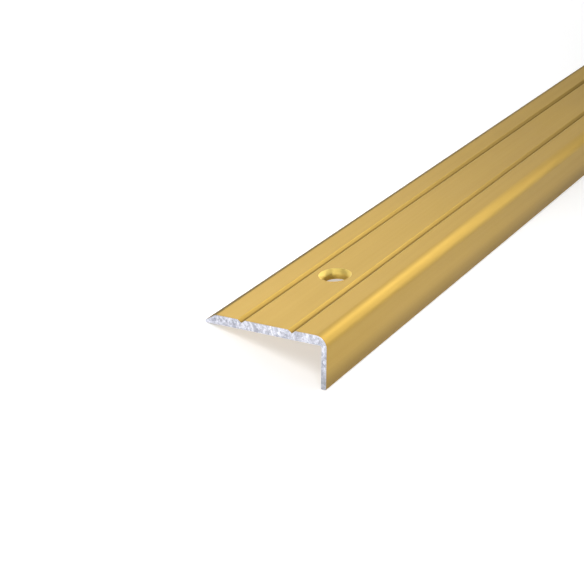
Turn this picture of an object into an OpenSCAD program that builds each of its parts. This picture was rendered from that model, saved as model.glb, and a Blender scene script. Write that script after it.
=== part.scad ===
// Stair edge angle profile, drilled and countersunk.
//
// One straight length of extruded aluminium: a flat flange that lies on the
// tread, with a feathered rear edge and two shallow anti-slip grooves, and a
// short leg that hooks over the front of the step. The leg closes in by a few
// degrees, so that it hugs the step once the screws pull the flange down.
//
// The section is drawn with Y from the nosing to the rear edge and Z up from
// the top of the flange. The piece is then laid down as it comes to rest on a
// level floor: on the rear edge and the toe of the leg, walking face up.
// Millimetres. X runs along the stock, the origin is in the middle, on the floor.

/* [Stock] */
// Length of the piece
length = 1000; // [200:10:2700]
// Width of the flange over all
flange_width = 24.5; // [22:0.5:35]
// Thickness of the flange
flange_thickness = 1.8; // [1.5:0.1:3]
// Height of the leg over all
leg_height = 10; // [6:0.5:20]
// Thickness of the leg
leg_thickness = 1; // [0.8:0.1:1.8]
// Angle between the leg and the flange, in degrees
leg_angle = 85; // [80:1:90]

/* [Edges] */
// Outer radius of the nosing, where the flange turns down into the leg
nosing_radius = 2; // [1.2:0.1:3]
// Fillet inside the corner
inner_radius = 0.3; // [0.2:0.05:1]
// Radius of the small edges at the toe and at the rear edge
edge_radius = 0.18; // [0.1:0.01:0.22]
// Width of the feathered slope along the rear edge
feather_width = 2.35; // [1.5:0.05:3]
// Thickness that is left at the rear edge
tip_thickness = 0.45; // [0.4:0.05:0.8]

/* [Grooves] */
// From the nosing to the middle of the front groove
front_land = 6.65; // [5:0.05:8]
// From the middle of the rear groove to the start of the feathered slope
rear_land = 5.3; // [4:0.05:6]
// Width of a groove at the surface
groove_width = 1.56; // [1:0.02:2]
// Depth of a groove
groove_depth = 0.55; // [0.3:0.05:0.8]
// Radius at the root of a groove
groove_root = 0.1; // [0.05:0.01:0.15]

/* [Screw holes] */
// Largest distance between two neighbouring holes
hole_spacing = 200; // [100:10:400]
// From each end of the stock to the first hole
end_margin = 23.2; // [15:0.1:50]
// How far the row of holes sits behind the middle between the grooves
hole_offset = 0.2; // [-0.5:0.05:0.5]
// Diameter of the hole
hole_d = 4.4; // [3.4:0.1:4.8]
// Diameter of the countersink at the surface
countersink_d = 6; // [5.4:0.1:7.5]
// Included angle of the countersink, in degrees
countersink_angle = 90; // [90:5:110]

/* [Hidden] */
$fn = 96;

lean = 90 - leg_angle;
drop = flange_thickness - tip_thickness;
feather_start = flange_width - feather_width;
rear_groove = feather_start - rear_land;
hole_line = (front_land + rear_groove) / 2 + hole_offset;
countersink_depth = (countersink_d - hole_d) / 2 / tan(countersink_angle / 2);
hole_gaps = max(1, ceil((length - 2 * end_margin) / hole_spacing));
hole_pitch = (length - 2 * end_margin) / hole_gaps;
spare = 1; // how far a cutter reaches past the face that it cuts
hair = 0.0002;

// The faces of the leg are lines y cos(lean) + z sin(lean) = d.
outer_d = nosing_radius * (cos(lean) - sin(lean) - 1);
inner_d = outer_d + leg_thickness;
function leg_y(d, z) = (d - z * sin(lean)) / cos(lean);

nosing_corner = [leg_y(outer_d, 0), 0];
feather_corner = [feather_start, 0];
tip_top = [flange_width, -drop];
tip_bottom = [flange_width, -flange_thickness];
inner_corner = [leg_y(inner_d, -flange_thickness), -flange_thickness];
toe_inner = [leg_y(inner_d, -leg_height), -leg_height];
toe_outer = [leg_y(outer_d, -leg_height), -leg_height];

function unit(v) = v / norm(v);
// The middle of a round of radius r in the corner p between the points a and b.
function round_middle(p, a, b, r) =
    let (u = unit(a - p), v = unit(b - p), w = unit(u + v))
    p + w * r / sqrt((1 - u * v) / 2);
// Where that round starts, on the side from p to a.
function round_start(p, a, b, r) =
    let (u = unit(a - p), v = unit(b - p))
    p + u * r * sqrt((1 + u * v) / (1 - u * v));

// At rest the floor touches the round under the rear edge and the one inside
// the toe. Both have the same radius, so the floor is parallel to the line
// through their middles.
tip_low = round_middle(tip_bottom, tip_top, inner_corner, edge_radius);
tip_high = round_middle(tip_top, feather_corner, tip_bottom, edge_radius);
toe_in = round_middle(toe_inner, inner_corner, toe_outer, edge_radius);
toe_out = round_middle(toe_outer, toe_inner, nosing_corner, edge_radius);
rest_tilt = atan2(tip_low[1] - toe_in[1], tip_low[0] - toe_in[0]);

function rested(p) = [p[0] * cos(rest_tilt) + p[1] * sin(rest_tilt),
                      p[1] * cos(rest_tilt) - p[0] * sin(rest_tilt)];
rest_lift = edge_radius - rested(toe_in)[1];
rest_shift = -(rested(tip_high)[0] + rested(toe_out)[0]) / 2;

// What lies between the corner p and a round of radius r in it. It reaches
// past the corner, so that no edges coincide, and the round overlaps the two
// faces by a hair, so that it meets each of them in one clean edge.
module corner_piece(p, a, b, r) {
    m = round_middle(p, a, b, r);
    reach = (r + 2 * hair) / r;
    difference() {
        polygon([m + (round_start(p, a, b, r) - m) * reach,
                 p + unit(p - m) * r,
                 m + (round_start(p, b, a, r) - m) * reach]);
        translate(m) circle(r + hair);
    }
}

// A V groove with a rounded root, its middle at y = 0.
module groove() {
    over = groove_width / 2 * (1 + spare / groove_depth);
    root = [0, -groove_depth];
    difference() {
        polygon([[-over, spare], root, [over, spare]]);
        corner_piece(root, [-over, spare], [over, spare], groove_root);
    }
}

// The space under the flange and behind the leg, with its inner corner rounded.
module step_space() {
    far = flange_width + spare;
    low = -leg_height - spare;
    under = [far, -flange_thickness];
    behind = [leg_y(inner_d, low), low];
    difference() {
        polygon([inner_corner, under, [far, low], behind]);
        corner_piece(inner_corner, under, behind, inner_radius);
    }
}

module section() {
    difference() {
        polygon([nosing_corner, feather_corner, tip_top, [flange_width, -leg_height], toe_outer]);
        step_space();
        corner_piece(nosing_corner, feather_corner, toe_outer, nosing_radius);
        corner_piece(tip_top, feather_corner, tip_bottom, edge_radius);
        corner_piece(tip_bottom, tip_top, inner_corner, edge_radius);
        corner_piece(toe_inner, inner_corner, toe_outer, edge_radius);
        corner_piece(toe_outer, toe_inner, nosing_corner, edge_radius);
        for (y = [front_land, rear_groove]) translate([y, 0]) groove();
    }
}

// A through hole with its countersink, the flange's top at z = 0.
module screw_hole() {
    translate([0, 0, -flange_thickness - spare])
        cylinder(h = flange_thickness + 2 * spare, d = hole_d);
    translate([0, 0, -countersink_depth])
        cylinder(h = countersink_depth + spare, d1 = hole_d,
                 d2 = countersink_d + 2 * spare * tan(countersink_angle / 2));
}

module angle_profile() {
    color("goldenrod")
    translate([-length / 2, rest_shift, rest_lift]) rotate([-rest_tilt, 0, 0])
    difference() {
        rotate([90, 0, 90]) linear_extrude(height = length) section();
        for (i = [0 : hole_gaps])
            translate([end_margin + i * hole_pitch, hole_line, 0]) screw_hole();
    }
}

angle_profile();
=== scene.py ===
# %% [markdown]
# # A stair edge angle in gold anodised aluminium
#
# This lesson dresses one straight length of extruded stair edge angle. The real thing is a
# flange that lies on the tread and a short leg that hooks over the front of the step. It was
# extruded, drilled and countersunk, anodised gold, and then sawn to length, so it is gold all
# over except on the two sawn ends, where the raw metal shows.
#
# The shape follows one rule: a fixed section, pushed along a straight line, with the same
# hole repeated along it. That is work for Geometry Nodes. The finishes are node materials.

# %% Load the frame
import math

import bmesh
import bpy
from mathutils import Matrix, Vector


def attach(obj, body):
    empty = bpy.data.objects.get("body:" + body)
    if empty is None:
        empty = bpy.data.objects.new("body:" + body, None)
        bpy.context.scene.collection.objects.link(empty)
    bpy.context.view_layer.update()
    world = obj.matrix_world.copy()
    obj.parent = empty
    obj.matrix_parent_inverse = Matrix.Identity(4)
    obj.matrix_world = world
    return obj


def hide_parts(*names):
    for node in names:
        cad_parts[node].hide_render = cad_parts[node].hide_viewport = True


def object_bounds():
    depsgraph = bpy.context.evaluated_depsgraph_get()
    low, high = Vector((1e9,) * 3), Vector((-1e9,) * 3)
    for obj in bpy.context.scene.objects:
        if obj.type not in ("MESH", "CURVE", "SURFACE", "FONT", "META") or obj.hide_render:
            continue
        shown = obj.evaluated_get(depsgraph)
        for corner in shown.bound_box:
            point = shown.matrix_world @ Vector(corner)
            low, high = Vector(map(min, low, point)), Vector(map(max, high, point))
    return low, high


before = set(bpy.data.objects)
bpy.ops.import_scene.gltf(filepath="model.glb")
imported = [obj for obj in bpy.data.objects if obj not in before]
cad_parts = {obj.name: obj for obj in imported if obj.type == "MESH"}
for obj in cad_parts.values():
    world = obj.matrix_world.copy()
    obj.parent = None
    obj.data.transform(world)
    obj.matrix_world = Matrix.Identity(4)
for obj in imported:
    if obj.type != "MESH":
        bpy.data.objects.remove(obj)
cad_low, cad_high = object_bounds()
MM = 0.001  # a millimetre, in metres
print("CAD box, mm:", [round((b - a) / MM, 2) for a, b in zip(cad_low, cad_high)])

# %% [markdown]
# ## Sizes
#
# The sizes are the ones of the solid model, in millimetres, in the section's own axes: Y runs
# from the nosing to the rear edge and Z up from the walking face. Each is written once, and
# the shape below is worked out from them.

# %% Sizes of the stock
LENGTH = 1000.0
FLANGE_WIDTH, FLANGE_THICKNESS = 24.5, 1.8
LEG_HEIGHT, LEG_THICKNESS = 10.0, 1.0
LEAN = math.radians(5.0)  # how far the leg closes in
NOSING_RADIUS, INNER_RADIUS, EDGE_RADIUS = 2.0, 0.3, 0.18
FEATHER_WIDTH, TIP_THICKNESS = 2.35, 0.45
FRONT_GROOVE, REAR_GROOVE = 6.65, 16.85
GROOVE_WIDTH, GROOVE_DEPTH, GROOVE_ROOT = 1.56, 0.55, 0.1
GROOVE_RIM, FEATHER_RADIUS = 0.12, 0.15  # two fine rounds that the solid model leaves sharp

HOLE_LINE, HOLES, END_MARGIN = 11.95, 6, 23.2
HOLE_D, COUNTERSINK_D = 4.4, 6.0
HOLE_PITCH = (LENGTH - 2 * END_MARGIN) / (HOLES - 1)
print("holes:", HOLES, "pitch, mm:", round(HOLE_PITCH, 2))

# %% [markdown]
# ## The section
#
# The section is a closed line with rounded corners. One could draw it by hand, but a short
# function that puts an arc into each corner keeps it true to the sizes. On each side of an
# arc it leaves one more point on the flat. Smooth shading then turns the normals only within
# the arc, and the wide flats stay flat to the eye.


# %% Corners of the section
def leg_y(offset, z):
    """Y on a face of the leg at height z; offset is the face's distance from the origin."""
    return (offset - z * math.sin(LEAN)) / math.cos(LEAN)


outer_face = NOSING_RADIUS * (math.cos(LEAN) - math.sin(LEAN) - 1)
inner_face = outer_face + LEG_THICKNESS
half = GROOVE_WIDTH / 2

# y, z, radius, steps in the arc
corners = [
    (leg_y(outer_face, 0), 0, NOSING_RADIUS, 18),
    (FRONT_GROOVE - half, 0, GROOVE_RIM, 4),
    (FRONT_GROOVE, -GROOVE_DEPTH, GROOVE_ROOT, 6),
    (FRONT_GROOVE + half, 0, GROOVE_RIM, 4),
    (REAR_GROOVE - half, 0, GROOVE_RIM, 4),
    (REAR_GROOVE, -GROOVE_DEPTH, GROOVE_ROOT, 6),
    (REAR_GROOVE + half, 0, GROOVE_RIM, 4),
    (FLANGE_WIDTH - FEATHER_WIDTH, 0, FEATHER_RADIUS, 4),
    (FLANGE_WIDTH, TIP_THICKNESS - FLANGE_THICKNESS, EDGE_RADIUS, 8),
    (FLANGE_WIDTH, -FLANGE_THICKNESS, EDGE_RADIUS, 10),
    (leg_y(inner_face, -FLANGE_THICKNESS), -FLANGE_THICKNESS, INNER_RADIUS, 9),
    (leg_y(inner_face, -LEG_HEIGHT), -LEG_HEIGHT, EDGE_RADIUS, 10),
    (leg_y(outer_face, -LEG_HEIGHT), -LEG_HEIGHT, EDGE_RADIUS, 10),
]
TIP_TOP, TIP_UNDER, TOE_INSIDE, TOE_OUTSIDE = 8, 9, 11, 12  # places in that list


# %% Round the corners
def corner_round(index):
    """A corner's point, the ways to its neighbours, half its angle and its arc's middle."""
    y, z, radius, _ = corners[index]
    here = Vector((y, z))
    back = (Vector(corners[index - 1][:2]) - here).normalized()
    ahead = (Vector(corners[(index + 1) % len(corners)][:2]) - here).normalized()
    half_angle = back.angle(ahead) / 2
    middle = here + (back + ahead).normalized() * radius / math.sin(half_angle)
    return here, back, ahead, half_angle, middle


def rounded_line(hold=0.03):
    """The closed line as (point, outward direction) pairs, with an arc in each corner."""
    line = []
    for index, (_, _, radius, steps) in enumerate(corners):
        here, back, ahead, half_angle, middle = corner_round(index)
        run = radius / math.tan(half_angle)
        start, end = here + back * run, here + ahead * run
        convex = back.x * ahead.y - back.y * ahead.x > 0
        side = 1.0 if convex else -1.0
        line.append((start + back * hold, (start - middle).normalized() * side))
        turn = (start - middle).angle_signed(end - middle)
        for k in range(steps + 1):
            arm = start - middle
            arm.rotate(Matrix.Rotation(-turn * k / steps, 2))
            line.append((middle + arm, arm.normalized() * side))
        line.append((end + ahead * hold, (end - middle).normalized() * side))
    return line


section = rounded_line()
print("points in the section:", len(section))

# %% [markdown]
# ## How the piece lies
#
# Nothing holds the piece up, so it lies as it would on a workbench: on the rear edge and on
# the toe of the leg. Both touch the floor with a round of the same radius, so the floor runs
# parallel to the line through the middles of those two rounds, and that line gives the tilt.

# %% Lay the section down
rear_edge, toe = corner_round(TIP_UNDER)[-1], corner_round(TOE_INSIDE)[-1]
TILT = math.atan2(rear_edge.y - toe.y, rear_edge.x - toe.x)
turned = Matrix.Rotation(-TILT, 4, "X")
rearmost = turned @ Vector((0, *corner_round(TIP_TOP)[-1]))
foremost = turned @ Vector((0, *corner_round(TOE_OUTSIDE)[-1]))
lift = EDGE_RADIUS - (turned @ Vector((0, *toe))).z
lay_down = (
    Matrix.Scale(MM, 4)
    @ Matrix.Translation((-LENGTH / 2, -(rearmost.y + foremost.y) / 2, lift))
    @ turned
)
REST_PLACE, REST_TURN = tuple(lay_down.to_translation()), (-TILT, 0.0, 0.0)
print("tilt at rest, degrees:", round(math.degrees(TILT), 3))

# %% [markdown]
# ## The section as a face
#
# The tree below pushes a face along the stock, so the section becomes a mesh with one
# many-sided face. Each of its points also carries its outward direction. The tree uses that
# to draw the outline in a little at the two ends, where the saw has left a fine broken edge.


# %% Make the section face
def section_object(name, line, x):
    """One face at x along the stock, turned towards +X."""
    mesh = bpy.data.meshes.new(name)
    mesh.from_pydata([(x, p.x, p.y) for p, _ in line], [], [list(range(len(line)))])
    if mesh.polygons[0].normal.x < 0:
        mesh.flip_normals()
    outward = mesh.attributes.new("outward", "FLOAT_VECTOR", "POINT")
    for item, (_, direction) in zip(outward.data, line):
        item.vector = (0, direction.x, direction.y)
    made = bpy.data.objects.new(name, mesh)
    bpy.context.scene.collection.objects.link(made)
    return made


SAW_EDGE = 0.05  # width of the broken edge
stock = section_object("angle_stock", section, SAW_EDGE)
print("section face, mm2:", round(stock.data.polygons[0].area, 3))

# %% [markdown]
# ## The countersunk hole
#
# Each hole was drilled through and opened with a 90 degree countersink. What the tools take
# away is a turned shape, so the cutter is half a profile, spun about its axis. It has a fine
# 45 degree break at the lower mouth, an arc where the bore opens into the countersink, and a
# narrow chamfer at the upper rim, because no real drilled edge is razor sharp after etching.
# Its faces carry a mark, and the cut surface inherits it, so the tree can tell drilled metal
# from extruded metal.


# %% Spin the hole cutter
def spun(name, profile, steps=72):
    """A closed turned shape; the profile is (radius, z) pairs from axis to axis."""
    work = bmesh.new()
    turns = [2 * math.pi * k / steps for k in range(steps)]
    rings = []
    for r, z in profile:
        around = turns if r else turns[:1]
        rings.append([work.verts.new((r * math.cos(a), r * math.sin(a), z)) for a in around])
    for low, high in zip(rings, rings[1:]):
        for k in range(steps):
            j = (k + 1) % steps
            quad = (low[k % len(low)], low[j % len(low)], high[j % len(high)], high[k % len(high)])
            # on the axis two of the corners are one, which leaves a triangle
            work.faces.new(list(dict.fromkeys(quad)))
    bmesh.ops.recalc_face_normals(work, faces=work.faces)
    mesh = bpy.data.meshes.new(name)
    work.to_mesh(mesh)
    work.free()
    drilled = mesh.attributes.new("drilled", "FLOAT", "FACE")
    drilled.data.foreach_set("value", [1.0] * len(mesh.polygons))
    made = bpy.data.objects.new(name, mesh)
    bpy.context.scene.collection.objects.link(made)
    return made


# %% The cutter's profile
BORE, RIM = HOLE_D / 2, COUNTERSINK_D / 2
WORN = 1.1  # radius of the arc that carries the countersink into the bore
MOUTH_BREAK, RIM_CHAMFER = 0.06, 0.03
FLARE, FLARE_TOP = 0.55, 0.21  # where the chamfer's cone ends, out from the rim and up
STAND_OUT = 1.0  # how far the cutter stands out of the metal
ARC_STEPS = 6

meeting_z = -(RIM - BORE)  # where cone and bore would meet without the arc
arc_z = meeting_z - WORN * math.tan(math.radians(22.5))
arc = [math.radians(45 * k / ARC_STEPS) for k in range(ARC_STEPS + 1)]
cutter = spun(
    "hole_cutter",
    [
        (0, -FLANGE_THICKNESS - STAND_OUT),
        (BORE + STAND_OUT + MOUTH_BREAK, -FLANGE_THICKNESS - STAND_OUT),
        (BORE, -FLANGE_THICKNESS + MOUTH_BREAK),
        *[(BORE + WORN * (1 - math.cos(a)), arc_z + WORN * math.sin(a)) for a in arc],
        (RIM - RIM_CHAMFER, -RIM_CHAMFER),
        (RIM + FLARE, FLARE_TOP),
        (RIM + FLARE, STAND_OUT),
        (0, STAND_OUT),
    ],
)
print("cutter faces:", len(cutter.data.polygons))

# %% [markdown]
# ## A tree that extrudes, drills and paints
#
# The tree does what the factory did. It pushes the section along X, breaks the sawn edges,
# sets one cutter at each hole, takes them all away, marks sharp edges, lays the piece down
# and gives each face its material. Its sizes are named inputs, so another length or another
# spacing is a matter of new numbers.
#
# A tree is easier to read when each node takes one line, so a few helpers come first. They
# set or link the inputs of a node by name, or by number where names repeat.


# %% Small helpers for node trees
def fill(tree, node, **inputs):
    """Set or link a node's inputs: each is named, or i and its number."""
    for key, value in inputs.items():
        numbered = key[0] == "i" and key[1:].isdigit()
        socket = node.inputs[int(key[1:]) if numbered else key.replace("_", " ")]
        if isinstance(value, bpy.types.NodeSocket):
            tree.links.new(value, socket)
        else:
            socket.default_value = value
    return node


def add(tree, kind, settings=None, **inputs):
    """One new node, with its settings and its inputs."""
    made = tree.nodes.new(kind)
    for key, value in (settings or {}).items():
        setattr(made, key, value)
    return fill(tree, made, **inputs)


def calc(tree, operation, *values, kind="ShaderNodeMath"):
    """What a Math node makes of its values."""
    slots = {f"i{n}": value for n, value in enumerate(values)}
    return add(tree, kind, {"operation": operation}, **slots).outputs[0]


def length_of(tree, vector):
    """The length of a vector; a Vector Math node gives it at its second output."""
    made = add(tree, "ShaderNodeVectorMath", {"operation": "LENGTH"}, i0=vector)
    return made.outputs["Value"]


# %% Open a node group
SOCKET_KINDS = {float: "NodeSocketFloat", int: "NodeSocketInt", tuple: "NodeSocketVector"}


def open_group(name, kind, inputs, outputs, output_kind="NodeSocketFloat"):
    """A new group; each input is given by its default, or else by the kind of its socket."""
    tree = bpy.data.node_groups.new(name, kind)
    for label, value in inputs.items():
        socket_kind = SOCKET_KINDS.get(type(value), value)
        made = tree.interface.new_socket(label, in_out="INPUT", socket_type=socket_kind)
        if type(value) in SOCKET_KINDS:
            made.default_value = value
    for label in outputs:
        tree.interface.new_socket(label, in_out="OUTPUT", socket_type=output_kind)
    given = tree.nodes.new("NodeGroupInput").outputs
    return tree, given, tree.nodes.new("NodeGroupOutput")


# %% Build the extrusion tree
SHARP_ANGLE = math.radians(15)
tree, given, result = open_group(
    "extruded_and_drilled",
    "GeometryNodeTree",
    {
        "Section": "NodeSocketGeometry",
        "Length": LENGTH,
        "Saw Edge": SAW_EDGE,
        "Hole Cutter": "NodeSocketObject",
        "Holes": HOLES,
        "First Hole": (0.0, 0.0, 0.0),
        "Hole Pitch": (0.0, 0.0, 0.0),
        "Sharp Above": SHARP_ANGLE,
        "Rest Place": (0.0, 0.0, 0.0),
        "Rest Turn": "NodeSocketRotation",
        "Scale": MM,
        "Anodised": "NodeSocketMaterial",
        "Drilled": "NodeSocketMaterial",
        "Sawn": "NodeSocketMaterial",
    },
    ["Geometry"],
    "NodeSocketGeometry",
)


def carried(name, kind):
    """What the mesh carries under that name."""
    return add(tree, "GeometryNodeInputNamedAttribute", {"data_type": kind}, Name=name).outputs[0]


outward = carried("outward", "FLOAT_VECTOR")
minus_edge = calc(tree, "MULTIPLY", given["Saw Edge"], -1.0)
inward = add(tree, "ShaderNodeVectorMath", {"operation": "SCALE"}, i0=outward, Scale=minus_edge)
between = calc(tree, "MULTIPLY_ADD", given["Saw Edge"], -2.0, given["Length"])


def push(geometry, distance, selection=True):
    """Faces pushed along X as one."""
    along = add(tree, "ShaderNodeCombineXYZ", X=distance).outputs[0]
    return add(
        tree, "GeometryNodeExtrudeMesh", {"mode": "FACES"},
        Mesh=geometry, Offset=along, Individual=False, Selection=selection,
    )


def drawn_in(pushed):
    """The pushed face with its outline drawn in by the width of the broken edge."""
    return add(
        tree, "GeometryNodeSetPosition", Geometry=pushed.outputs["Mesh"],
        Selection=pushed.outputs["Top"], Offset=inward.outputs[0],
    ).outputs[0]


TOUCHING = 0.0005  # points this close, in millimetres, are one
body = push(given["Section"], between)
far_end = drawn_in(push(body.outputs["Mesh"], given["Saw Edge"], body.outputs["Top"]))
flipped = add(tree, "GeometryNodeFlipFaces", Mesh=given["Section"])
near_end = drawn_in(push(flipped.outputs[0], minus_edge))
joined = add(tree, "GeometryNodeJoinGeometry")
for part in (far_end, near_end):
    tree.links.new(part, joined.inputs[0])
closed = add(tree, "GeometryNodeMergeByDistance", Geometry=joined.outputs[0], Distance=TOUCHING)

# %% Drill and shade in the same tree
places = add(
    tree, "GeometryNodeMeshLine", {"mode": "OFFSET"},
    Count=given["Holes"], Start_Location=given["First Hole"], Offset=given["Hole Pitch"],
)
tool = add(tree, "GeometryNodeObjectInfo", Object=given["Hole Cutter"])
tools = add(
    tree, "GeometryNodeInstanceOnPoints",
    Points=places.outputs[0], Instance=tool.outputs["Geometry"],
)
solid_tools = add(tree, "GeometryNodeRealizeInstances", Geometry=tools.outputs[0])
drilled = add(
    tree, "GeometryNodeMeshBoolean", {"operation": "DIFFERENCE", "solver": "EXACT"},
    Mesh_1=closed.outputs[0], Mesh_2=solid_tools.outputs[0],
)


def is_over(value, limit):
    """A selection of the places where a value is over its limit."""
    settings = {"data_type": "FLOAT", "operation": "GREATER_THAN"}
    return add(tree, "FunctionNodeCompare", settings, i0=value, i1=limit).outputs[0]


edge_angle = add(tree, "GeometryNodeInputMeshEdgeAngle").outputs["Unsigned Angle"]
smooth = add(
    tree, "GeometryNodeSetShadeSmooth", {"domain": "FACE"},
    Geometry=drilled.outputs[0], Shade_Smooth=True,
)
creased = add(
    tree, "GeometryNodeSetShadeSmooth", {"domain": "EDGE"}, Geometry=smooth.outputs[0],
    Selection=is_over(edge_angle, given["Sharp Above"]), Shade_Smooth=False,
)


# %% Lay down and paint in the same tree
def finished_in(label, geometry, selection=True):
    """Faces given the material of that input."""
    return add(
        tree, "GeometryNodeSetMaterial",
        Geometry=geometry, Selection=selection, Material=given[label],
    ).outputs[0]


uniform = add(tree, "ShaderNodeCombineXYZ", X=given["Scale"], Y=given["Scale"], Z=given["Scale"])
laid = add(
    tree, "GeometryNodeTransform", Geometry=creased.outputs[0],
    Translation=given["Rest Place"], Rotation=given["Rest Turn"], Scale=uniform.outputs[0],
)
real = add(tree, "GeometryNodeRealizeInstances", Geometry=laid.outputs[0])
position = add(tree, "GeometryNodeInputPosition").outputs[0]
along = add(tree, "ShaderNodeSeparateXYZ", Vector=position).outputs["X"]
from_middle = calc(tree, "ABSOLUTE", along)
# an end face lies in the last quarter millimetre of half the length
end_at = calc(tree, "MULTIPLY_ADD", given["Length"], MM / 2, -MM / 4)
gold_all = finished_in("Anodised", real.outputs[0])
gold_holes = finished_in("Drilled", gold_all, is_over(carried("drilled", "FLOAT"), 0.5))
fill(tree, result, Geometry=finished_in("Sawn", gold_holes, is_over(from_middle, end_at)))
print("nodes in the tree:", len(tree.nodes))

# %% [markdown]
# ## Die lines, grain and saw marks
#
# Small shader groups carry the detail, so that each finish further down only says how much of
# it to take. Extruded metal always shows faint lines that run with the stock, left by the
# die. Etching before the anodising bath leaves a fine even grain over them. Both are noise:
# the lines are noise stretched along the stock, and the grain is noise left as it is.


# %% Shader group: die lines
def object_place(tree):
    """The place on the object, in metres."""
    return tree.nodes.new("ShaderNodeTexCoord").outputs["Object"]


def stretched(tree, vector, along):
    """The same place, with X counting only for that share."""
    scale = (along, 1.0, 1.0)
    return add(tree, "ShaderNodeMapping", {"vector_type": "POINT"}, Vector=vector, Scale=scale).outputs[0]


def noise(tree, vector, scale, detail=2.0, rough=0.5):
    inputs = {"Vector": vector, "Scale": scale, "Detail": detail, "Roughness": rough}
    return add(tree, "ShaderNodeTexNoise", **inputs).outputs[0]


def spread(tree, value, low, high, to_low=0.0, to_high=1.0):
    """The value's run from low to high, spread from to_low to to_high and held there."""
    return add(
        tree, "ShaderNodeMapRange", {"clamp": True}, Value=value,
        From_Min=low, From_Max=high, To_Min=to_low, To_Max=to_high,
    ).outputs[0]


tree, given, result = open_group(
    "die_lines", "ShaderNodeTree", {"Fine": 9000.0, "Broad": 900.0}, ["Lines", "Bands"],
)
where = object_place(tree)
fine = noise(tree, stretched(tree, where, 0.004), given["Fine"], 3.0)
broad = noise(tree, stretched(tree, where, 0.02), given["Broad"])
fill(tree, result, Lines=spread(tree, fine, 0.3, 0.7), Bands=spread(tree, broad, 0.35, 0.65))
print("group:", tree.name, len(tree.nodes), "nodes")

# %% Shader group: etched grain
tree, given, result = open_group(
    "etched_grain", "ShaderNodeTree", {"Grain": 6000.0, "Cloud": 60.0}, ["Grain", "Cloud"],
)
where = object_place(tree)
grain = noise(tree, where, given["Grain"], 2.0, 0.6)
cloud = noise(tree, where, given["Cloud"], 3.0)
fill(tree, result, Grain=spread(tree, grain, 0.3, 0.7), Cloud=spread(tree, cloud, 0.35, 0.65))
print("group:", tree.name, len(tree.nodes), "nodes")

# %% [markdown]
# The saw leaves long shallow arcs on the ends, over metal that tears in small bright facets.
# The blade is a disc, so its marks are arcs about one far centre. Distance from that
# centre, fed to a noise that reads one number, gives lines that are never evenly spaced. Two
# Voronoi textures add the facets: each cell gets one grey, as torn crystals do.


# %% Shader group: saw marks
def line_noise(tree, value, scale, detail, rough):
    """Noise that reads one number."""
    inputs = {"W": value, "Scale": scale, "Detail": detail, "Roughness": rough}
    return add(tree, "ShaderNodeTexNoise", {"noise_dimensions": "1D"}, **inputs).outputs[0]


def cell_grey(tree, vector, scale, channel):
    """One grey in each Voronoi cell: one channel of the cell's random colour."""
    cells = add(tree, "ShaderNodeTexVoronoi", Vector=vector, Scale=scale)
    return add(tree, "ShaderNodeSeparateColor", Color=cells.outputs["Color"]).outputs[channel]


FINER, FINER_SHARE = 2.7, 0.45  # how much finer the second facets are, and their share
WARP = (0.0005, 0.0005, 0.0005)  # metres by which the facets' outlines wander
SWAY = 0.0008  # metres by which the arcs wander

tree, given, result = open_group(
    "saw_marks", "ShaderNodeTree",
    {"Blade Centre": (0.0, -0.08, 0.055), "Streaks": 520.0, "Facets": 800.0},
    ["Streak", "Facet", "Patch", "Height"],
)
where = object_place(tree)
vectors = "ShaderNodeVectorMath"
flat = calc(tree, "MULTIPLY", where, (0, 1, 1), kind=vectors)
reach = length_of(tree, calc(tree, "SUBTRACT", flat, given["Blade Centre"], kind=vectors))
swept = calc(tree, "MULTIPLY_ADD", noise(tree, where, 500.0), SWAY, reach)
streaks = line_noise(tree, swept, given["Streaks"], 4.0, 0.65)
wander = add(tree, "ShaderNodeTexNoise", Vector=where, Scale=1300.0, Detail=3.0).outputs["Color"]
uneven = calc(tree, "MULTIPLY_ADD", wander, WARP, where, kind=vectors)
coarse = cell_grey(tree, uneven, given["Facets"], 0)
finer = cell_grey(tree, uneven, calc(tree, "MULTIPLY", given["Facets"], FINER), 1)
mix = {"data_type": "FLOAT"}
facet = add(tree, "ShaderNodeMix", mix, i0=FINER_SHARE, i2=coarse, i3=finer).outputs[0]
fill(
    tree, result,
    Streak=spread(tree, streaks, 0.32, 0.72),
    Facet=facet,
    Patch=spread(tree, noise(tree, where, 260.0), 0.4, 0.62),
    Height=calc(tree, "MULTIPLY_ADD", streaks, 0.8, facet),
)
print("group:", tree.name, len(tree.nodes), "nodes")

# %% [markdown]
# Some places on the section are painted darker than the rest. The roots and rear walls of the
# grooves and the leg towards its toe get painted shade, and the feather's slope gets a painted
# dark reflection. They lie at fixed places across the stock, so the coordinates are turned
# back into the section's own axes and four masks are cut from them.


# %% Shader group: zones of the section
def in_section_axes(tree, given):
    """Object coordinates turned back into the section's own axes, in millimetres."""
    back = add(
        tree, "ShaderNodeMapping", {"vector_type": "TEXTURE"}, Vector=object_place(tree),
        Location=given["Rest Place"], Rotation=given["Rest Turn"], Scale=(MM, MM, MM),
    )
    return add(tree, "ShaderNodeSeparateXYZ", Vector=back.outputs[0]).outputs


REST_INPUTS = {"Rest Place": (0.0, 0.0, 0.0), "Rest Turn": (0.0, 0.0, 0.0)}
WALL_MIDDLE = 0.36  # millimetres from a groove's line to the middle of its rear wall

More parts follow.
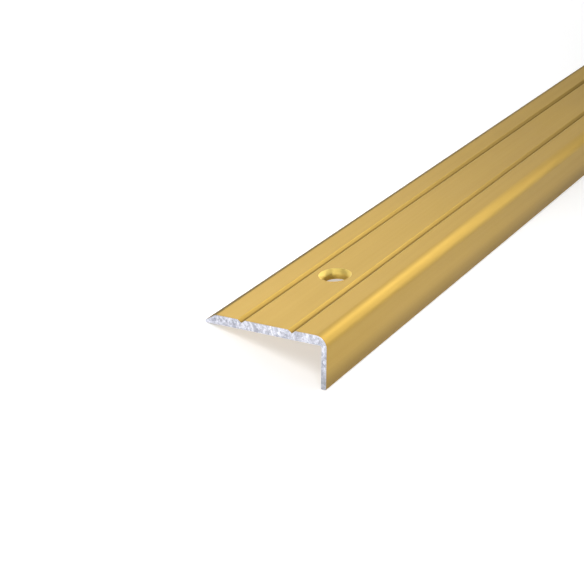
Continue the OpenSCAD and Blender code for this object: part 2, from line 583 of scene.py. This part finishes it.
tree, given, result = open_group(
    "painted_dark_zones", "ShaderNodeTree",
    {
        **REST_INPUTS,
        "Front Groove": FRONT_GROOVE,
        "Rear Groove": REAR_GROOVE,
        "Root Width": 0.3,
        "Feather Start": FLANGE_WIDTH - FEATHER_WIDTH,
        "Toe Start": -6.2,
    },
    ["Root", "Rear Wall", "Feather", "Toe"],
)
axis = in_section_axes(tree, given)
walking_side = spread(tree, axis["Z"], -1.65, -1.5)  # keeps the grooves' masks off the underside
roots, walls = [], []
for groove in ("Front Groove", "Rear Groove"):
    past = calc(tree, "SUBTRACT", axis["Y"], given[groove])
    near = calc(tree, "DIVIDE", calc(tree, "ABSOLUTE", past), given["Root Width"])
    roots.append(spread(tree, near, 0.3, 1.0, 1.0, 0.0))
    from_wall = calc(tree, "ABSOLUTE", calc(tree, "SUBTRACT", past, WALL_MIDDLE))
    walls.append(spread(tree, from_wall, 0.25, 0.42, 1.0, 0.0))
root, wall = (
    calc(tree, "MULTIPLY", calc(tree, "MAXIMUM", *masks), walking_side) for masks in (roots, walls)
)
past_start = calc(tree, "SUBTRACT", axis["Y"], given["Feather Start"])
below = calc(tree, "SUBTRACT", given["Toe Start"], axis["Z"])
# Root, Rear Wall and Toe mask painted shade; Feather masks a painted dark reflection
fill(
    tree, result, Root=root, Rear_Wall=wall,
    Feather=spread(tree, past_start, -0.25, 0.1), Toe=spread(tree, below, 0.0, 3.0),
)
print("group:", tree.name, len(tree.nodes), "nodes")

# %% [markdown]
# The drill and the countersink leave fine rings in each hole. All holes share one pattern:
# the length is folded at the hole pitch, and the distance from the nearest hole's axis
# drives a noise. The group also says how deep below the walking face a point lies.

# %% Shader group: drill rings
tree, given, result = open_group(
    "drill_rings", "ShaderNodeTree",
    {
        **REST_INPUTS,
        "First Hole": END_MARGIN,
        "Hole Pitch": HOLE_PITCH,
        "Hole Line": HOLE_LINE,
        "Rings": 14.0,
    },
    ["Rings", "Depth"],
)
axis = in_section_axes(tree, given)
from_first = calc(tree, "SUBTRACT", axis["X"], given["First Hole"])
nearest = calc(tree, "ROUND", calc(tree, "DIVIDE", from_first, given["Hole Pitch"]))
folded = calc(tree, "MULTIPLY", nearest, given["Hole Pitch"])
beside = calc(tree, "SUBTRACT", from_first, folded)
across = calc(tree, "SUBTRACT", axis["Y"], given["Hole Line"])
arm = add(tree, "ShaderNodeCombineXYZ", X=beside, Y=across).outputs[0]
travel = calc(tree, "ADD", length_of(tree, arm), axis["Z"])
rings = line_noise(tree, travel, given["Rings"], 3.0, 0.6)
fill(
    tree, result,
    Rings=spread(tree, rings, 0.3, 0.7), Depth=spread(tree, axis["Z"], -0.3, -1.5),
)
print("group:", tree.name, len(tree.nodes), "nodes")

# %% [markdown]
# ## The gold finish
#
# Anodised aluminium is metal under a thin hard dyed film, so the shader is metallic and takes
# its colour from the dye. The film is satin: the etched grain breaks up reflections, which is
# a middle roughness, and the die lines change that roughness from line to line. The feather is
# set as a dull brown film that hides the metal, a painted dark reflection for its slope, and the
# groove roots, rear walls and toe are painted darker, as painted shade.


# %% Helpers for the finishes
def new_material(name):
    made = bpy.data.materials.new(name)
    made.use_nodes = True
    return made, made.node_tree, made.node_tree.nodes["Principled BSDF"]


def place_group(tree, name, **values):
    """A shader group placed in a material with its own values; gives its outputs."""
    group = {"node_tree": bpy.data.node_groups[name]}
    return add(tree, "ShaderNodeGroup", group, **values).outputs


def blend_colour(tree, factor, dark, light):
    mix = {"data_type": "RGBA"}
    return add(tree, "ShaderNodeMix", mix, i0=factor, i6=dark, i7=light).outputs[2]


def weigh(tree, parts, start=0.0):
    """start + the sum of value x weight, as a chain of Multiply Add nodes."""
    total = start
    for value, weight in parts:
        total = calc(tree, "MULTIPLY_ADD", value, weight, total)
    return total


def bumped(tree, height, strength, distance):
    made = add(tree, "ShaderNodeBump", Strength=strength, Distance=distance, Height=height)
    return made.outputs[0]


# %% Make the gold
GOLD_DEEP, GOLD_LIGHT = (0.432, 0.278, 0.053, 1), (0.477, 0.317, 0.065, 1)
# the darker gold is painted shade; the dull brown is a painted dark reflection on the feather's slope
GOLD_SHADE, FEATHER_DARK_REFLECTION = (0.15, 0.09, 0.015, 1), (0.23, 0.16, 0.055, 1)
FILM_RELIEF = 0.00003  # metres
ROOT_SHIFT = 0.04  # millimetres by which the grooves' dark zones lie nearer to the nosing
AT_REST = {"Rest_Place": REST_PLACE, "Rest_Turn": REST_TURN}

gold, tree, shader = new_material("gold_anodised")
lines = place_group(tree, "die_lines", Fine=9000.0, Broad=900.0)
grain = place_group(tree, "etched_grain", Grain=6000.0, Cloud=60.0)
zones = place_group(
    tree, "painted_dark_zones", **AT_REST, Root_Width=0.4,
    Front_Groove=FRONT_GROOVE - ROOT_SHIFT, Rear_Groove=REAR_GROOVE - ROOT_SHIFT,
    Feather_Start=FLANGE_WIDTH - FEATHER_WIDTH,
)
tone = weigh(tree, [(lines["Bands"], 0.35), (lines["Lines"], 0.3), (grain["Cloud"], 0.35)])
# painted shade in the groove roots, on their rear walls and towards the toe
groove_and_toe_shade = weigh(tree, [(zones["Root"], 0.3), (zones["Rear Wall"], 0.35), (zones["Toe"], 0.56)])
shaded = blend_colour(tree, groove_and_toe_shade, blend_colour(tree, tone, GOLD_DEEP, GOLD_LIGHT), GOLD_SHADE)
relief = weigh(tree, [(lines["Lines"], 0.5), (lines["Bands"], 0.3), (grain["Grain"], 0.5)])
uneven_gloss = [
    (lines["Lines"], 0.05), (grain["Grain"], 0.05), (grain["Cloud"], 0.04),
    (zones["Root"], 0.15), (zones["Feather"], 0.4),
]
fill(
    tree, shader,
    # the feather's dull brown is a painted dark reflection
    Base_Color=blend_colour(tree, zones["Feather"], shaded, FEATHER_DARK_REFLECTION),
    Roughness=weigh(tree, uneven_gloss, 0.42),
    Metallic=weigh(tree, [(zones["Feather"], -1.0)], 1.0),
    Specular_IOR_Level=0.1,
    Coat_Weight=weigh(tree, [(zones["Feather"], -0.05)], 0.05),
    Coat_Roughness=0.35,
    Normal=bumped(tree, relief, 0.12, FILM_RELIEF),
)
print("gold finish:", len(tree.nodes), "nodes")

# %% [markdown]
# The holes were drilled before the metal went into the bath, so they are gold too. Inside
# them the die lines are gone and the rings of the drill take their place. Their gold is painted
# lighter than the flange's, a painted highlight for the light the countersink catches, and the
# bore is painted darker with depth, as painted shade.

# %% Make the drilled gold
# the hole gold is painted lighter than the flange gold, a painted highlight; the bore colour below is
# painted shade
HOLE_DEEP, HOLE_LIGHT = (0.74, 0.55, 0.14, 1), (0.85, 0.66, 0.185, 1)
BORE_SHADE = (0.34, 0.21, 0.04, 1)

drilled_gold, tree, shader = new_material("gold_drilled")
turned_rings = place_group(
    tree, "drill_rings", **AT_REST,
    First_Hole=END_MARGIN, Hole_Pitch=HOLE_PITCH, Hole_Line=HOLE_LINE, Rings=14.0,
)
grain = place_group(tree, "etched_grain", Grain=6000.0, Cloud=300.0)
tone = weigh(tree, [(turned_rings["Rings"], 0.5), (grain["Cloud"], 0.5)])
colour = blend_colour(tree, tone, HOLE_DEEP, HOLE_LIGHT)
# painted shade, darker down the bore
painted_bore_shade = weigh(tree, [(turned_rings["Depth"], 0.45)])
relief = weigh(tree, [(turned_rings["Rings"], 0.7), (grain["Grain"], 0.3)])
fill(
    tree, shader,
    Base_Color=blend_colour(tree, painted_bore_shade, colour, BORE_SHADE),
    Roughness=weigh(tree, [(turned_rings["Rings"], 0.08), (grain["Grain"], 0.04)], 0.44),
    Metallic=0.9,
    Normal=bumped(tree, relief, 0.55, FILM_RELIEF),
)
print("drilled gold:", len(tree.nodes), "nodes")

# %% [markdown]
# ## The sawn ends
#
# The stock is cut after anodising, so the ends are bare metal: bluish white and mottled, with
# a few bright streaks and dark scores where teeth dragged through, and painted greyer towards
# the toe, as painted shade near the floor. Facets and streaks both steer the colour, and their
# height bends the light a little, which makes the ends glitter instead of looking printed.

# %% Make the sawn metal
TORN_DARK, TORN_LIGHT = (0.33, 0.345, 0.42, 1), (0.88, 0.89, 0.97, 1)
STREAK_BRIGHT, SCORE_DARK = (0.93, 0.94, 0.98, 1), (0.30, 0.31, 0.38, 1)
# the toe grey is painted shade near the floor
TOE_SHADE_GREY = (0.33, 0.34, 0.37, 1)
SAW_RELIEF = 0.00008  # metres

sawn, tree, shader = new_material("sawn_aluminium")
marks = place_group(tree, "saw_marks", Streaks=1300.0, Facets=1900.0)
ends = place_group(tree, "painted_dark_zones", **AT_REST, Toe_Start=-5.0)
torn = spread(tree, marks["Facet"], 0.12, 0.88)
tone = weigh(tree, [(torn, 0.8), (marks["Patch"], 0.3)])
base = blend_colour(tree, tone, TORN_DARK, TORN_LIGHT)
bright = spread(tree, marks["Streak"], 0.74, 0.9, 0.0, 0.8)
dragged = blend_colour(tree, bright, base, STREAK_BRIGHT)
scored = spread(tree, marks["Streak"], 0.1, 0.24, 0.35, 0.0)
scratched = blend_colour(tree, scored, dragged, SCORE_DARK)
# painted shade, greyer towards the toe
toe_shade = weigh(tree, [(ends["Toe"], 0.5)])
fill(
    tree, shader,
    Base_Color=blend_colour(tree, toe_shade, scratched, TOE_SHADE_GREY),
    Roughness=weigh(tree, [(marks["Facet"], 0.15), (marks["Streak"], -0.1)], 0.5),
    Metallic=1.0,
    Normal=bumped(tree, marks["Height"], 0.35, SAW_RELIEF),
)
print("sawn metal:", len(tree.nodes), "nodes")

# %% [markdown]
# ## Run the tree
#
# The modifier gets its numbers by the identifier of each input, because a modifier does not
# know them by name. Then the evaluated result is copied into a plain mesh. The finished piece
# is that mesh, lying in its place, on an object that was never moved.

# %% Run it and keep a plain mesh
numbers = {
    "Length": LENGTH,
    "Saw Edge": SAW_EDGE,
    "Hole Cutter": cutter,
    "Holes": HOLES,
    "First Hole": (END_MARGIN, HOLE_LINE, 0.0),
    "Hole Pitch": (HOLE_PITCH, 0.0, 0.0),
    "Sharp Above": SHARP_ANGLE,
    "Rest Place": REST_PLACE,
    "Rest Turn": REST_TURN,
    "Scale": MM,
    "Anodised": gold,
    "Drilled": drilled_gold,
    "Sawn": sawn,
}
stock.data.materials.append(gold)
run = stock.modifiers.new("extruded_and_drilled", "NODES")
run.node_group = bpy.data.node_groups["extruded_and_drilled"]
for item in run.node_group.interface.items_tree:
    if item.in_out == "INPUT" and item.name in numbers:
        run[item.identifier] = numbers[item.name]
evaluated = stock.evaluated_get(bpy.context.evaluated_depsgraph_get())
finished = bpy.data.meshes.new_from_object(evaluated)
finished.name = "stair_edge_angle"
for leftover in ("outward", "drilled"):
    finished.attributes.remove(finished.attributes[leftover])
stock.modifiers.clear()
stair_edge = bpy.data.objects.new("stair_edge_angle", finished)
bpy.context.scene.collection.objects.link(stair_edge)
for helper in (stock, cutter):
    bpy.data.objects.remove(helper)
print("faces:", len(finished.polygons), "materials:", [m.name for m in finished.materials])

# %% Check that it is closed and right side out
work = bmesh.new()
work.from_mesh(finished)
print(
    "open edges:", sum(not e.is_manifold for e in work.edges),
    "volume, mm3:", round(work.calc_volume(signed=True) / MM**3, 1),
)
work.free()
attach(stair_edge, "root")
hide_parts("angle_profile")

# %% [markdown]
# ## Floor, lamps and camera
#
# A pale floor carries the soft shadow. It is plain white paper, with a little light of its
# own for the eye and for reflections, so that it reads as a clean background while the lamps
# stay at a level that leaves colours as they are. The lamps only reach the floor close to the
# piece, so farther out the paper makes up for them with more light of its own. Beside the
# stock it glows a little less than at the cut end, because the leg mirrors it there and is
# darker along the stock than at its end.

# %% Floor
FLOOR_HALF = 12  # metres from the middle to each side
PAPER_WHITE = (0.82, 0.82, 0.82, 1)
END_GLOW, SIDE_GLOW, FAR_GLOW = 0.5, 0.44, 0.89  # at the cut end, beside the stock, farther out
SIDE_FROM, SIDE_TO = cad_low[0] + 0.04, cad_low[0] + 0.18  # along the stock, in metres
FAR_FROM, FAR_TO = 0.03, 0.11  # away from the stock, in metres

floor_mesh = bpy.data.meshes.new("floor")
floor_corners = [(FLOOR_HALF * x, FLOOR_HALF * y, 0) for x, y in ((-1, -1), (1, -1), (1, 1), (-1, 1))]
floor_mesh.from_pydata(floor_corners, [], [(0, 1, 2, 3)])
floor = bpy.data.objects.new("floor", floor_mesh)
bpy.context.scene.collection.objects.link(floor)
paper, tree, shader = new_material("floor_paper")
path = tree.nodes.new("ShaderNodeLightPath").outputs
seen = calc(tree, "MAXIMUM", path["Is Camera Ray"], path["Is Glossy Ray"])
seen = calc(tree, "MAXIMUM", seen, path["Is Transmission Ray"])
spot = add(tree, "ShaderNodeSeparateXYZ", Vector=object_place(tree)).outputs
beside = add(tree, "ShaderNodeClamp", Value=spot["X"], Min=cad_low[0], Max=cad_high[0])
past_end = calc(tree, "SUBTRACT", spot["X"], beside.outputs[0])
way = add(tree, "ShaderNodeCombineXYZ", X=past_end, Y=spot["Y"]).outputs[0]
near_level = spread(tree, spot["X"], SIDE_FROM, SIDE_TO, END_GLOW, SIDE_GLOW)
level = spread(tree, length_of(tree, way), FAR_FROM, FAR_TO, near_level, FAR_GLOW)
fill(
    tree, shader,
    Base_Color=PAPER_WHITE,
    Roughness=1.0,
    Specular_IOR_Level=0.0,
    Emission_Color=(1, 1, 1, 1),
    Emission_Strength=calc(tree, "MULTIPLY", seen, level),
)
floor_mesh.materials.append(paper)
print("floor paper:", len(tree.nodes), "nodes")

# %% [markdown]
# A satin metal shows little but what it mirrors, so the lamps are soft boxes, each placed
# where one part of the section looks: some behind the camera for the sawn end and the holes,
# some low over the far side for the flat face, some in front for the rounded nosing. They
# hang close to the cut end, so their light falls off along the stock. Some have a narrowed
# beam, which keeps it off the rest of the stock. Four weak bench lamps hang in a row over
# that rest, so that the whole length can be looked at from any side. The world adds an even
# white light.

# %% World and a soft lamp
WORLD_LIGHT = 0.15
world = bpy.data.worlds.new("studio")
bpy.context.scene.world = world
world.use_nodes = True
background = world.node_tree.nodes["Background"]
background.inputs["Color"].default_value = (1, 1, 1, 1)
background.inputs["Strength"].default_value = WORLD_LIGHT


def soft_lamp(name, place, target, size, beam, watts):
    light = bpy.data.lights.new(name, "AREA")
    light.shape = "RECTANGLE"
    light.size, light.size_y = size
    light.spread = math.radians(beam)
    light.energy = watts
    lamp = bpy.data.objects.new(name, light)
    lamp.location = place
    lamp.rotation_euler = (Vector(target) - Vector(place)).to_track_quat("-Z", "Y").to_euler()
    lamp.visible_camera = False
    bpy.context.scene.collection.objects.link(lamp)


# %% Soft boxes about the cut end
CUT_END = Vector((-0.49, 0, 0.005))
# turn, height angle, distance, width, height, beam, watts; angles in degrees, lengths in metres
soft_boxes = [
    (165, 14, 0.6, 0.3, 0.2, 180, 1.132),
    (65, 18, 0.3, 0.25, 0.12, 180, 0.178),
    (30, 24, 0.3, 0.25, 0.15, 180, 0.129),
    (-65, 15, 0.35, 0.2, 0.1, 180, 0.056),
    (-165, 60, 0.35, 0.2, 0.2, 60, 0.049),
    (170, 62, 0.3, 0.2, 0.12, 60, 0.022),
    (-20, 30, 0.22, 0.2, 0.12, 60, 0.019),
    (50, 22, 0.22, 0.18, 0.1, 180, 0.015),
    (-40, 10, 0.4, 0.2, 0.08, 60, 0.012),
    (-5, 42, 0.18, 0.18, 0.06, 50, 0.012),
    (42, 12, 0.22, 0.12, 0.06, 180, 0.01),
    (15, 45, 0.25, 0.15, 0.15, 60, 0.006),
    (-36, 20, 0.2, 0.12, 0.06, 50, 0.004),
    (35, 20, 0.3, 0.2, 0.15, 60, 0.002),
]
for i, (turn, rise, far, width, height, beam, watts) in enumerate(soft_boxes):
    turn, rise = math.radians(turn), math.radians(rise)
    out = Vector((math.cos(rise) * math.cos(turn), math.cos(rise) * math.sin(turn), math.sin(rise)))
    soft_lamp(f"lamp_{i + 1}", CUT_END + far * out, CUT_END, (width, height), beam, watts)

# %% Bench lamps over the rest
BENCH_SIZE, BENCH_BEAM = (0.3, 0.3), 45
# place along the stock in metres, watts
bench_lamps = [(-0.08, 0.12), (0.1, 0.25), (0.27, 0.3), (0.44, 0.3)]
for i, (x, watts) in enumerate(bench_lamps):
    above = Vector((x - 0.02, -0.18, 0.5))  # half a metre up and a little in front
    soft_lamp(f"bench_lamp_{i + 1}", above, (x, 0, 0), BENCH_SIZE, BENCH_BEAM, watts)

# %% [markdown]
# The camera looks along the stock from the cut end and a little from above, with a long lens.
# Its place and direction are given in the section's own axes and laid down with the piece, so
# the two keep their relation.

# %% Camera
SENSOR, LENS = 36.0, 86.4288
EYE = Vector((-175.002, -111.927, 99.181))  # millimetres
FORWARD, UPWARD = Vector((0.76017, 0.51208, -0.39989)), Vector((0.37374, 0.15882, 0.91384))

camera_data = bpy.data.cameras.new("camera")
camera_data.sensor_width = SENSOR
camera_data.lens = LENS
camera_data.clip_start = 0.01
camera = bpy.data.objects.new("camera", camera_data)
bpy.context.scene.collection.objects.link(camera)
turn = lay_down.to_3x3().normalized()
forward = turn @ FORWARD
rightward = forward.cross(turn @ UPWARD).normalized()
upward = rightward.cross(forward).normalized()
forward.normalize()
axes = Matrix((rightward, upward, -forward)).transposed().to_4x4()
camera.matrix_world = Matrix.Translation(lay_down @ EYE) @ axes
bpy.context.scene.camera = camera
print("camera at", [round(c, 4) for c in camera.location])
print("looking down, degrees:", round(math.degrees(math.asin(-forward.z)), 1))

# %% [markdown]
# ## Colour
#
# The Standard view transform shows colours as the materials give them, where a filmic one
# would bend them.

# %% Colour
view = bpy.context.scene.view_settings
view.view_transform = "Standard"
